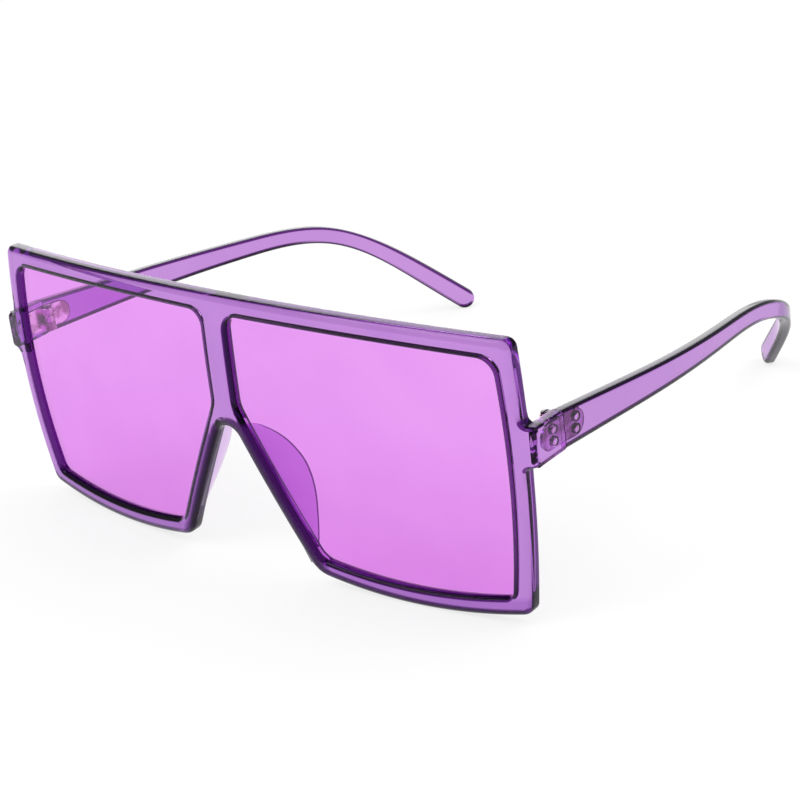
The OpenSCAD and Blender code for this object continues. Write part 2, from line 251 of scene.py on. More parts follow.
def bringTogether(target, others, how="UNION"):
    for other in others:
        mod = target.modifiers.new(how.lower(), "BOOLEAN")
        mod.operation, mod.solver, mod.object = how, "EXACT", other
    graph = bpy.context.evaluated_depsgraph_get()
    mesh = bpy.data.meshes.new_from_object(target.evaluated_get(graph))
    target.modifiers.clear()
    target.data = mesh
    shadeSoft(mesh)
    for other in others:
        bpy.data.objects.remove(other)


def blockMesh(name, low, high):
    # a plain block, to cut with or to join
    bm = bmesh.new()
    bmesh.ops.create_cube(bm, size=1)
    low, high = Vector(low), Vector(high)
    for v in bm.verts:
        v.co = Vector(a + (b - a) * (c + 0.5) for a, b, c in zip(low, high, v.co))
    return meshObject(name, bm)


def mirroredCopy(name, piece):
    mesh = piece.data.copy()
    mesh.name = name
    mesh.transform(Matrix.Scale(-1, 4, (1, 0, 0)))
    mesh.flip_normals()
    return placed(name, mesh)


# the front: one clear moulding with its end pieces and nose pads, in mm
# corner radii are shares of the rim beside them, and the inner edge takes a share of the outer one's swell
# the edge's rounding grows by a share up the nose edges and shrinks to one at the end pieces, each over so
# many mm
front = {"browWidth": 146, "footWidth": 143.4, "noseFootWidth": 37.8, "height": 64.6, "crown": 1.4,
         "footRise": 2.7, "sideSwell": 2.15, "nosePeak": 38.7, "archRadius": 3.75, "thick": 3.2,
         "ball": 385, "rimTop": 4.4, "rimSide": 3.9, "rimBottom": 3.6, "rimNose": 3.5, "bridge": 7.2,
         "edgeRound": 1.5, "edgeDeep": 1.2, "backRound": 0.4, "openingRound": 1.0, "lip": 0.1,
         "outerCorners": {"noseFoot": 1.8, "foot": 0.8, "brow": 0.5},
         "innerCorners": {"noseFoot": 1.2, "foot": 0.6, "brow": 0.9, "bridge": 0.75, "peak": 1.7},
         "innerSwells": {"foot": 0.8, "brow": 0.3},
         "noseMargin": (0.4, 0.5), "noseRounding": (0.4, 8), "endRounding": (0.5, 4)}
endPiece = {"out": 3, "jointY": 17.7, "jointZ": 41.4, "jointGap": 0.2, "height": 8.8, "backHeight": 8.5,
            "thick": 2.8, "corner": 1.3, "fillet": 1.5, "clear": 0.3, "sunk": 0.1, "round": 0.6, "past": 2}
lens = {"thick": 1.2, "set": 1.3, "lap": 0.8, "gap": 0.03, "edgeFlat": 0.3}
pads = {"reach": 8.8, "thick": 1.9, "flare": 16, "root": 1.92, "rootHalf": 1.0, "rearRound": 0.45,
        "span": (0.12, 0.94), "flanks": (0.33, 0.67, 1),
        "edgeShares": (0, 0.035, 0.1, 0.18, 0.27, 0.39, 0.51, 0.63, 0.75, 0.85, 0.94, 1),
        "reachShares": (0, 0.3, 0.54, 0.75, 0.9, 1, 0.97, 0.84, 0.63, 0.43, 0.22, 0)}

f, e = front, endPiece
footIn = Vector((f["noseFootWidth"] / 2, f["footRise"]))
footOut = Vector((f["footWidth"] / 2, f["footRise"]))
browEnd = Vector((f["browWidth"] / 2, f["height"] - f["crown"]))
nosePeak = Vector((0, f["nosePeak"]))

jointShare = (e["jointZ"] - footIn.y) / (browEnd.y - footIn.y)
rimX = (footOut.x + (browEnd.x - footOut.x) * jointShare
        + 4 * f["sideSwell"] * jointShare * (1 - jointShare))  # the rim's edge beside the joint
outX = rimX + e["out"]  # outer face of the end pieces
innerX = outX - e["thick"]
frontEnd, templeStart = e["jointY"] - e["jointGap"] / 2, e["jointY"] + e["jointGap"] / 2
farOff = 4 * f["height"]


def onBall(p, deep):
    # a point of the front, bent to its ball
    r = f["ball"]
    return Vector((p.x, r - math.sqrt((r - deep) ** 2 - p.x ** 2 - (p.y - f["height"] / 2) ** 2), p.y))


def cutSquare(piece, fromY, toY):
    # everything between two depths is cut off
    block = blockMesh("cut", (-farOff, fromY, -farOff), (farOff, toY, farOff))
    bringTogether(piece, [block], "DIFFERENCE")


def otherSide(loop):
    return [Vector((-p.x, p.y)) for p in reversed(loop)]


def otherCorners(corners):
    return [(Vector((-p.x, p.y)), r) for p, r in reversed(corners)]


def frontOutline():
    share = f["outerCorners"]
    right = [(footIn, share["noseFoot"] * f["rimNose"]), (footOut, share["foot"] * f["rimBottom"]),
             (browEnd, share["brow"] * f["rimTop"])]
    swells = [0, f["footRise"], f["sideSwell"], f["crown"], f["sideSwell"], f["footRise"], 0]
    corners = [(nosePeak, f["archRadius"])] + right + otherCorners(right)
    # the end piece stands out of each side edge, with a fillet above and below
    low, high = e["jointZ"] - e["height"] / 2, e["jointZ"] + e["height"] / 2
    around = e["fillet"] + e["clear"]
    bump = [(Vector((rimX + e["sunk"], low)), e["fillet"]), (Vector((outX, low)), e["corner"]),
            (Vector((outX, high)), e["corner"]), (Vector((rimX + e["sunk"], high)), e["fillet"])]
    waiting, kept = {True: bump, False: otherCorners(bump)}, []
    for p, r in swollenLoop(corners, swells, fine["outerSwell"]):
        if abs(p.x) > footOut.x and low - around < p.y < high + around:
            kept += waiting.pop(p.x > 0, [])
        else:
            kept.append((p, r))
    return evenLoop(roundedLoop(kept), fine["edgePitch"])


def openingLoop(grow=0):
    noseIn = nosePeak - outwardOf(nosePeak, footIn) * f["rimNose"]
    footLine = footIn + Vector((0, f["rimBottom"]))
    sideIn = footOut - outwardOf(footOut, browEnd) * f["rimSide"]
    browLine = browEnd - Vector((0, f["rimTop"]))
    fall = Vector((f["browWidth"] / 2, -f["crown"]))
    bridge = Vector((f["bridge"] / 2, 0))
    along, up = Vector((1, 0)), Vector((0, 1))
    share, swell = f["innerCorners"], f["innerSwells"]
    corners = [(meetOf(noseIn, footIn - nosePeak, footLine, along), share["noseFoot"] * f["rimNose"]),
               (meetOf(footLine, along, sideIn, browEnd - footOut), share["foot"] * f["rimBottom"]),
               (meetOf(sideIn, browEnd - footOut, browLine, fall), share["brow"] * f["rimTop"]),
               (meetOf(browLine, fall, bridge, up), share["bridge"] * f["rimTop"]),
               (meetOf(bridge, up, noseIn, footIn - nosePeak), share["peak"] * f["rimNose"])]
    swells = [swell["foot"] * f["footRise"], f["sideSwell"], swell["brow"] * f["crown"], 0, 0]
    loop = swollenLoop(corners, swells, fine["innerSwell"])
    return grownLoop(evenLoop(roundedLoop(loop), fine["edgePitch"]), grow)


def openingProfile():
    # rounded front edge, the V-shaped lens groove, rounded back edge
    near, far = lens["set"] - lens["gap"], lens["set"] + lens["thick"] + lens["gap"]
    floor, half, middle = lens["lap"] + lens["gap"], lens["edgeFlat"] / 2 + lens["gap"], (near + far) / 2
    into, back = f["openingRound"], 0.5 * (f["thick"] - far)
    return ([(into + fine["band"], 0)] + quarterTurn(into, near - f["lip"], 0, True, fine["rounding"])
            + [(0, near), (floor, middle - half), (floor, middle + half), (0, far)]
            + quarterTurn(back, back, f["thick"], False, fine["backRounding"])
            + [(back + fine["band"], f["thick"])])


def endBar():
    # the bar that runs back from the rim to the joint, and a little past it until it is cut off
    root = f["ball"] - math.sqrt(f["ball"] ** 2 - innerX ** 2) + f["thick"] / 2
    past = e["jointY"] + e["past"]
    z, h0, h1 = e["jointZ"], e["height"] / 2, e["backHeight"] / 2
    corners = [Vector(p) for p in ((root, z - h0), (past, z - h1), (past, z + h1), (root, z + h0))]
    rim = (evenLoop(corners, fine["barPitch"]), softEdge(e["thick"], e["round"]), -1)
    return plateMesh("end_bar", [rim], lambda p, deep: Vector((outX - deep, p.x, p.y)))


def smoothRun(points):
    # an open run of points, smoothed through each of them
    run, steps = [], fine["padRun"]
    for i in range(len(points) - 1):
        a, b = points[max(i - 1, 0)], points[i]
        c, d = points[i + 1], points[min(i + 2, len(points) - 1)]
        for k in range(steps):
            s = k / steps
            run.append(0.5 * (2 * b + (c - a) * s + (2 * a - 5 * b + 4 * c - d) * s ** 2
                              + (3 * b - a - 3 * c + d) * s ** 3))
    return run + [points[-1]]


def nosePad():
    # a fin along the nose edge, flared away from the nose, thinner and rounded towards its rear edge
    edge = (footIn - nosePeak).length
    tilt = math.atan2(footIn.x, nosePeak.y - footIn.y)
    top, span = pads["span"][0] * edge, (pads["span"][1] - pads["span"][0]) * edge
    toRoot, flare = Matrix.Translation((0, pads["root"], 0)), math.radians(-pads["flare"])
    lean = (Matrix.Translation((0, 0, nosePeak.y)) @ Matrix.Rotation(-tilt, 4, "Y")
            @ toRoot @ Matrix.Rotation(flare, 4, "Z") @ Matrix.Translation((0, -pads["root"], 0)))
    middle, r = pads["thick"] / 2, pads["rearRound"]
    arc = [math.pi * k / fine["padArc"] for k in range(fine["padArc"] + 1)]
    bm, rings = bmesh.new(), []
    for p in smoothRun([Vector(shares) for shares in zip(pads["edgeShares"], pads["reachShares"])]):
        back = f["thick"] + pads["reach"] * max(p.y, 0)
        section = [(middle - r * math.cos(a), back - r + r * math.sin(a)) for a in arc]
        for share in pads["flanks"]:
            wide = r + (pads["rootHalf"] - r) * share
            deep = (back - r) + (pads["root"] - back + r) * share
            section = [(middle - wide, deep)] + section + [(middle + wide, deep)]
        rings.append([bm.verts.new(lean @ Vector((x, y, -top - span * p.x))) for x, y in section])
    skinRings(bm, rings)
    bm.faces.new(rings[0])
    bm.faces.new(rings[-1])
    bmesh.ops.recalc_face_normals(bm, faces=bm.faces)
    return meshObject("nose_pad", bm)


def roundShare(p):
    # the outer rounding is wider beside the nose, but not at the feet, and narrower at the end pieces
    if abs(p.x) < footIn.x + f["noseMargin"][0] and p.y < nosePeak.y + f["noseMargin"][1]:
        more, over = f["noseRounding"]
        return 1 + more * min(1, max(0, p.y / over))
    least, over = f["endRounding"]
    near = (abs(p.y - e["jointZ"]) - e["height"] / 2) / over
    return 1 if abs(p.x) < footOut.x or near > 1 else least + (1 - least) * max(near, 0)


opening, outline = openingLoop(), frontOutline()
outerEdge = softEdge(f["thick"], f["edgeRound"], f["edgeDeep"], f["backRound"])
plate = plateMesh("front_moulding", [
    (outline, outerEdge, -1, [roundShare(p) for p in outline]),
    (opening, openingProfile(), 1), (otherSide(opening), openingProfile(), 1)], onBall)
leftBar, leftPad = endBar(), nosePad()
rightBar, rightPad = mirroredCopy("right_bar", leftBar), mirroredCopy("right_pad", leftPad)
bringTogether(plate, [leftBar, leftPad, rightBar, rightPad])
cutSquare(plate, frontEnd, farOff)
print("front moulding:", len(plate.data.polygons), "faces")


# the two lenses, held in the groove round each opening
def lensPiece(name, loop):
    near, far = lens["set"], lens["set"] + lens["thick"]
    middle, half, lap = (near + far) / 2, lens["edgeFlat"] / 2, lens["lap"]
    flat = lap + fine["band"]
    profile = [(flat, near), (lap, near), (0, middle - half), (0, middle + half), (lap, far), (flat, far)]
    return plateMesh(name, [(loop, profile, -1)], onBall, fine["lensCap"])


leftLens = lensPiece("tinted_lens_left", openingLoop(lens["lap"]))
rightLens = mirroredCopy("tinted_lens_right", leftLens)
print("lenses done")

# the temples: a tapering arm, bent down and in behind the ear, in mm and degrees
temple = {"jointHeight": 8.5, "waistHeight": 4.4, "tipHeight": 5.4, "thick": 2.8, "bend": (67, 125.5),
          "waistAt": 102, "runSlope": 5.4, "tipSlope": 40.3, "leanFrom": (17.5, 73), "lean": 8.3,
          "turnFrom": (89, 124), "tipTurn": 45, "edgeRound": 0.9, "before": 2, "keepFrom": 0.5,
          "runStep": 1.5, "tipSteps": 4, "planStep": 0.5, "planSteps": 400}
t = temple


def ease(u, start, stop):
    return (1 - math.cos(math.pi * min(1, max(0, (u - start) / (stop - start))))) / 2


def slopeAt(u):
    return t["runSlope"] + (t["tipSlope"] - t["runSlope"]) * ease(u, *t["bend"])


def inwardAt(u):
    return t["lean"] * ease(u, *t["leanFrom"]) + (t["tipTurn"] - t["lean"]) * ease(u, *t["turnFrom"])


def templeRun():
    # middle line seen from the side: distance from the joint, height
    run, u, z = [(0, e["jointZ"])], 0, e["jointZ"]
    while u < t["bend"][1] - fine["tiny"]:
        step = min(t["runStep"], t["bend"][1] - u)
        z -= step * math.tan(math.radians(slopeAt(u + step / 2)))
        u += step
        run.append((u, z))
    tipU = t["bend"][1] + (z - t["tipHeight"] / 2) / math.tan(math.radians(t["tipSlope"]))
    for k in range(1, t["tipSteps"] + 1):
        share = k / t["tipSteps"]
        run.append((u + (tipU - u) * share, z + (t["tipHeight"] / 2 - z) * share))
    return run


def halfHeight(u, tipU):
    joint, waist, tip = t["jointHeight"], t["waistHeight"], t["tipHeight"]
    if u < t["waistAt"]:
        return (joint + (waist - joint) * math.sin(math.pi / 2 * u / t["waistAt"])) / 2
    return (waist + (tip - waist) * ease(u, t["waistAt"], tipU)) / 2


def templeOutline():
    run = templeRun()
    tipU = run[-1][0]
    up, down = [], []
    for u, z in run:
        a, half = math.radians(slopeAt(u)), halfHeight(u, tipU)
        up.append(Vector((u + half * math.sin(a), z + half * math.cos(a))))
        down.append(Vector((u - half * math.sin(a), z - half * math.cos(a))))
    # the arm starts before the joint, and is cut off square there afterwards
    start, fall = -t["before"], t["before"] * math.tan(math.radians(t["runSlope"]))
    top, bottom = e["jointZ"] + t["jointHeight"] / 2, e["jointZ"] - t["jointHeight"] / 2
    r, turn = t["tipHeight"] / 2, -math.pi / 2 - math.radians(t["tipSlope"])
    arc = [turn + math.pi * k / fine["tipArc"] for k in range(1, fine["tipArc"])]
    tip = [Vector((tipU, r)) + Vector((math.cos(a), math.sin(a))) * r for a in arc]
    points = ([Vector((start, bottom + fall))] + [p for p in down if p.x > t["keepFrom"]] + tip
              + [p for p in reversed(up) if p.x > t["keepFrom"]] + [Vector((start, top + fall))])
    # the tips rest flat on the table
    return [Vector((p.x, max(p.y, 0))) for p in evenLoop(points, fine["edgePitch"])]


def planTable():
    # the outer face seen from above: place and direction at each step from the joint
    table, x, y, step = [], outX, e["jointY"], t["planStep"]
    for i in range(t["planSteps"]):
        u = i * step
        table.append((x, y, math.radians(inwardAt(u))))
        a = math.radians(inwardAt(u + step / 2))
        x, y = x - step * math.sin(a), y + step * math.cos(a)
    return table


plan = planTable()


def alongTemple(p, deep):
    # distance from the joint and height, at a depth inside the outer face, to a place in space
    at = p.x / t["planStep"]
    i = min(max(math.floor(at), 0), len(plan) - 2)
    x, y, a = [plan[i][k] + (plan[i + 1][k] - plan[i][k]) * (at - i) for k in range(3)]
    return Vector((x - deep * math.cos(a), y - deep * math.sin(a), p.y))


armRim = (templeOutline(), softEdge(t["thick"], t["edgeRound"]), -1)
leftTemple = plateMesh("temple_arm_left", [armRim], alongTemple, fine["armCap"])
cutSquare(leftTemple, -farOff, templeStart)
print("temples done")

# the hinges: leaves sunk in the plastic and held by studs, three knuckles and a screw, in mm
# a dome is how far in from the rim, and how far down from the top
hinge = {"knuckle": 1.3, "barrelClear": 0.104, "barrel": 5.6, "knuckleGap": 0.1, "knuckleEdge": 0.08,
         "hole": 0.6, "holePast": 1, "holeEdge": 0.01, "leafThick": 1, "leafHeight": 5.7,
         "frontLength": 6.5, "templeLength": 7.3, "edge": 0.12, "pocketEdge": 0.02, "pocketRun": 1,
         "sunkGap": 0.04}
stud = {"radius": 1.1, "neck": 0.7, "pitch": 2.6, "frontAt": 2.6, "templeAt": 4.5, "rooted": 0.1,
        "edge": 0.12, "dome": ((0, 0.3), (0.08, 0.14), (0.28, 0.04)), "flat": 0.4}
screw = {"shank": 0.55, "shankEdge": 0.08, "head": 1.1, "headEdge": 0.06, "headHeight": 0.7,
         "dome": ((0, 0.3), (0.1, 0.12), (0.32, 0.02)), "slot": 0.35, "slotHalf": 2, "slotPast": 1}
h = hinge
axisX = innerX - h["knuckle"] - h["barrelClear"]
pivot = Matrix.Translation((axisX, e["jointY"], 0))
barrelLow = e["jointZ"] - h["barrel"] / 2
knuckleHeight = (h["barrel"] - 2 * h["knuckleGap"]) / 3
slope = math.radians(t["runSlope"])
# what is sunk in an end piece runs forward from the joint, what is sunk in a temple runs back along it
forward = Matrix.Translation((innerX, frontEnd, e["jointZ"])) @ Matrix.Scale(-1, 4, (0, 1, 0))
backward = (Matrix.Translation((innerX, templeStart + h["leafHeight"] / 2 * math.sin(slope), e["jointZ"]))
            @ Matrix.Rotation(-slope, 4, "X"))


def turnedMesh(name, profile, place):
    # a form turned about its own z axis; the profile runs from the axis back to the axis
    bm, rings = bmesh.new(), []
    for r, z in profile:
        turns = [2 * math.pi * k / fine["turned"] for k in range(fine["turned"] if r else 1)]
        rings.append([bm.verts.new(place @ Vector((r * math.cos(a), r * math.sin(a), z))) for a in turns])
    skinRings(bm, rings)
    bmesh.ops.recalc_face_normals(bm, faces=bm.faces)
    return meshObject(name, bm)


def pinProfile(r, low, high, edge):
    return [(0, low), (r - edge, low), (r, low + edge), (r, high - edge), (r - edge, high), (0, high)]


def leafPlate(name, length, place, grow=0, run=0):
    # a leaf is rounded at its far end; grown, and run on past the joint, it cuts its own pocket
    half, thick = h["leafHeight"] / 2 + grow, h["leafThick"] + grow
    arc = [math.pi * (k / fine["leafArc"] - 0.5) for k in range(fine["leafArc"] + 1)]
    loop = [Vector((-run, half)), Vector((-run, -half))]
    loop += [Vector((length - h["leafHeight"] / 2 + half * math.cos(a), half * math.sin(a))) for a in arc]
    edge = h["pocketEdge"] if grow else h["edge"]
    flat = edge + fine["leafBand"]
    profile = [(flat, -run), (edge, -run), (0, edge - run), (0, thick - edge), (edge, thick), (flat, thick)]
    return plateMesh(name, [(evenLoop(loop, fine["barPitch"]), profile, -1)],
                     lambda p, deep: place @ Vector((deep, p.x, p.y)), fine["leafCap"])


def knuckleAt(level, back):
    # one knuckle and the web that joins it to its leaf
    low = barrelLow + level * (knuckleHeight + h["knuckleGap"])
    high = low + knuckleHeight
    ring = turnedMesh("knuckle", pinProfile(h["knuckle"], low, high, h["knuckleEdge"]), pivot)
    y = sorted((e["jointY"] + back * e["jointGap"] / 2, e["jointY"] + back * h["knuckle"]))
    return [ring, blockMesh("web", (axisX, y[0], low), (innerX + h["leafThick"] / 2, y[1], high))]


def leafPiece(name, length, place, levels, back):
    leaf = leafPlate(name, length, place)
    bringTogether(leaf, [part for level in levels for part in knuckleAt(level, back)])
    low, high = barrelLow - h["holePast"], barrelLow + h["barrel"] + h["holePast"]
    bore = turnedMesh("bore", pinProfile(h["hole"], low, high, h["holeEdge"]), pivot)
    bringTogether(leaf, [bore], "DIFFERENCE")
    return leaf


def studPair(name, at, place, grow=0):
    # a neck and a wider, slightly domed head each
    long = e["thick"] - h["leafThick"]
    low, high, r, neck = long / 4 - grow, long * 7 / 12 + grow, stud["radius"] + grow, stud["neck"] + grow
    foot = -stud["rooted"] - grow
    profile = ([(0, foot), (neck, foot), (neck, low), (r - stud["edge"], low), (r, low + stud["edge"])]
               + [(r - into, high - down) for into, down in stud["dome"]]
               + [(stud["flat"] * r, high), (0, high)])
    spots = [Vector((h["leafThick"], at, side * stud["pitch"] / 2)) for side in (-1, 1)]
    turn = Matrix.Rotation(math.pi / 2, 4, "Y")
    pair = [turnedMesh(name, profile, place @ Matrix.Translation(spot) @ turn) for spot in spots]
    bringTogether(pair[0], [pair[1]])
    return pair[0]


def screwPiece(name):
    low, top, r, shank = barrelLow, barrelLow + h["barrel"], screw["head"], screw["shank"]
    head = top + screw["headHeight"]
    profile = ([(0, low), (shank - screw["shankEdge"], low), (shank, low + screw["shankEdge"]),
                (shank, top), (r - screw["headEdge"], top), (r, top + screw["headEdge"])]
               + [(r - into, head - down) for into, down in screw["dome"]] + [(0, head)])
    pin = turnedMesh(name, profile, pivot)
    wide, long = screw["slot"] / 2, screw["slotHalf"]
    slot = blockMesh("slot", (axisX - wide, e["jointY"] - long, head - screw["headHeight"] / 2),
                     (axisX + wide, e["jointY"] + long, head + screw["slotPast"]))
    bringTogether(pin, [slot], "DIFFERENCE")
    return pin


def pocketFor(length, studAt, place):
    # each leaf and its studs sit in a pocket of the clear plastic
    return [leafPlate("pocket", length, place, h["sunkGap"], h["pocketRun"]),
            studPair("holes", studAt, place, h["sunkGap"])]


metalLeft = {
    "front_leaf": leafPiece("front_leaf_plate_left", h["frontLength"], forward, (0, 2), -1),
    "temple_leaf": leafPiece("temple_leaf_plate_left", h["templeLength"], backward, (1,), 1),
    "front_studs": studPair("front_stud_heads_left", stud["frontAt"], forward),
    "temple_studs": studPair("temple_stud_heads_left", stud["templeAt"], backward),
    "hinge_screw": screwPiece("slotted_screw_left")}
frontPocket = pocketFor(h["frontLength"], stud["frontAt"], forward)
bringTogether(plate, frontPocket + [mirroredCopy("other_" + part.name, part) for part in frontPocket],
              "DIFFERENCE")
bringTogether(leftTemple, pocketFor(h["templeLength"], stud["templeAt"], backward), "DIFFERENCE")
rightTemple = mirroredCopy("temple_arm_right", leftTemple)
print("hinges done")

# finishes: clear plastics are dyed through, so their colour deepens with thickness; the darker edges of the
# frame and temples, and the frame's darker nose legs and foot rims, are painted shade
frameDyeAndShade = {"faceTint": (0.84, 0.65, 0.92), "worn": (0.79, 0.59, 0.89), "dye": (0.60, 0.125, 0.75),
            "strength": 300, "ior": 1.49, "gloss": (0.42, 0.26, 0.50), "rough": (0.015, 0.05),
            "ripple": 0.03, "paintedEdgeShade": (0.042, 0.005, 0.08), "paintedShadeFrom": (0.1, 0.22),
            "pads": (0.97, 0.89, 0.985), "paintedLegShade": (0.3, 0.18, 0.38), "foot": (0.8, 0.7, 0.88),
            "outer": (0.14, 0.045, 0.18)}
lensDye = {"faceTint": (0.98, 0.73, 1.0), "worn": (0.95, 0.69, 0.98), "dye": (0.775, 0.075, 0.87),
           "footTint": (0.98, 0.80, 0.98), "footSpan": (8, 45), "strength": 640, "ior": 1.5,
           "gloss": (0.6, 0.4, 0.65), "rough": (0.0, 0.02), "ripple": 0.008}
# the temples' edges that face up or down are darkened with painted shade
templeDyeAndShade = {"faceTint": (0.865, 0.655, 0.94), "worn": (0.82, 0.62, 0.91), "dye": (0.525, 0.075, 0.675),
             "strength": 300, "ior": 1.49, "gloss": (0.30, 0.19, 0.34), "rough": (0.015, 0.05),
             "ripple": 0.03, "paintedEdgeShade": (0.03, 0.003, 0.06), "paintedShadeFrom": (0.14, 0.4)}
hingeMetal = {"colour": (1.0, 0.90, 0.92), "dull": (0.40, 0.25, 0.31), "rough": (0.10, 0.34), "patch": 320}
studMetal = {"colour": (1.0, 0.95, 0.93), "dull": (0.80, 0.68, 0.70), "rough": (0.06, 0.16), "patch": 500}
screwMetal = {"colour": (0.30, 0.26, 0.30), "dull": (0.10, 0.08, 0.10), "rough": (0.12, 0.28), "patch": 500}
# noises are a scale and a detail
plasticSkin = {"cloud": (60, 4), "wear": (240, 6), "ripples": (90, 2), "rippleDepth": 0.0005}
metalSkin = {"grain": (900, 3), "grainDepth": (0.2, 0.00005), "patchDetail": 5, "patchEdge": (0.42, 0.58)}
# where the front's painted shade begins and is full, in mm: distances from the nose edge, heights, heights
# over the lower edge and distances round the arch; the sideways edges count up to sideIn from the side
paintedShadeAt = {"paintedLegShade": (2.9, 2.1), "legEdge": (2.2, 0.8), "legTop": (34, 31), "foot": (4.2, 3.4),
          "footEdge": (1.2, 0.6), "arch": (1.9, 1.1), "sideIn": 2.3, "steeper": 0.12, "plateSpare": 0.3,
          "lensEdge": (0.2, 0.9), "lensEdgeBelow": 2, "browDown": 2.5, "browLess": 0.75, "rearFacing": 0.5}


def newMaterial(name):
    mat = bpy.data.materials.new(name)
    mat.use_nodes = True
    tree = mat.node_tree
    tree.nodes.clear()
    return mat, tree, tree.nodes.new("ShaderNodeOutputMaterial")


def splitOf(tree, kind):
    coords, split = tree.nodes.new("ShaderNodeTexCoord"), tree.nodes.new("ShaderNodeSeparateXYZ")
    tree.links.new(coords.outputs[kind], split.inputs["Vector"])
    return split.outputs


def noiseOf(tree, scale, detail, stretch=(1, 1, 1)):
    coords = tree.nodes.new("ShaderNodeTexCoord")
    spread = tree.nodes.new("ShaderNodeMapping")
    spread.inputs["Scale"].default_value = stretch
    noise = tree.nodes.new("ShaderNodeTexNoise")
    noise.inputs["Scale"].default_value = scale
    noise.inputs["Detail"].default_value = detail
    tree.links.new(coords.outputs["Object"], spread.inputs["Vector"])
    tree.links.new(spread.outputs["Vector"], noise.inputs["Vector"])
    return noise.outputs["Fac"]


def blendOf(tree, factor, low, high, between=(0.35, 0.65)):
    ramp = tree.nodes.new("ShaderNodeValToRGB")
    for stop, place, colour in zip(ramp.color_ramp.elements, between, (low, high)):
        stop.position, stop.color = place, (*colour, 1)
    tree.links.new(factor, ramp.inputs["Fac"])
    return ramp.outputs["Color"]


def spanOf(tree, value, low, high, between=(0.3, 0.7), how="LINEAR"):
    span = tree.nodes.new("ShaderNodeMapRange")
    span.interpolation_type = how
    for side, (start, result) in zip(("Min", "Max"), zip(between, (low, high))):
        span.inputs["From " + side].default_value = start
        span.inputs["To " + side].default_value = result
    tree.links.new(value, span.inputs["Value"])
    return span.outputs["Result"]


def bumpOf(tree, height, strength, distance):
    bump = tree.nodes.new("ShaderNodeBump")
    bump.inputs["Strength"].default_value = strength
    bump.inputs["Distance"].default_value = distance
    tree.links.new(height, bump.inputs["Height"])
    return bump.outputs["Normal"]


def mathOf(tree, how, a, b=None):
    node = tree.nodes.new("ShaderNodeMath")
    node.operation = how
    for socket, value in zip(node.inputs, (a, b)):
        if isinstance(value, (int, float)):
            socket.default_value = value
        elif value is not None:
            tree.links.new(value, socket)
    return node.outputs["Value"]


def stepOf(tree, value, start, full):
    # 0 at the start and 1 where it is full, which may be the lower of the two, and softly between
    step = spanOf(tree, value, 0, 1, (min(start, full), max(start, full)), "SMOOTHSTEP")
    return step if start < full else mathOf(tree, "SUBTRACT", 1, step)


def tintedBy(tree, tintAndShade, factor, other, how="MIX"):
    mix = tree.nodes.new("ShaderNodeMix")
    mix.data_type, mix.blend_type = "RGBA", how
    for name, value in (("Factor", factor), ("A", tintAndShade), ("B", other)):
        if isinstance(value, bpy.types.NodeSocket):
            tree.links.new(value, mix.inputs[name])
        else:
            mix.inputs[name].default_value = value
    return mix.outputs["Result"]


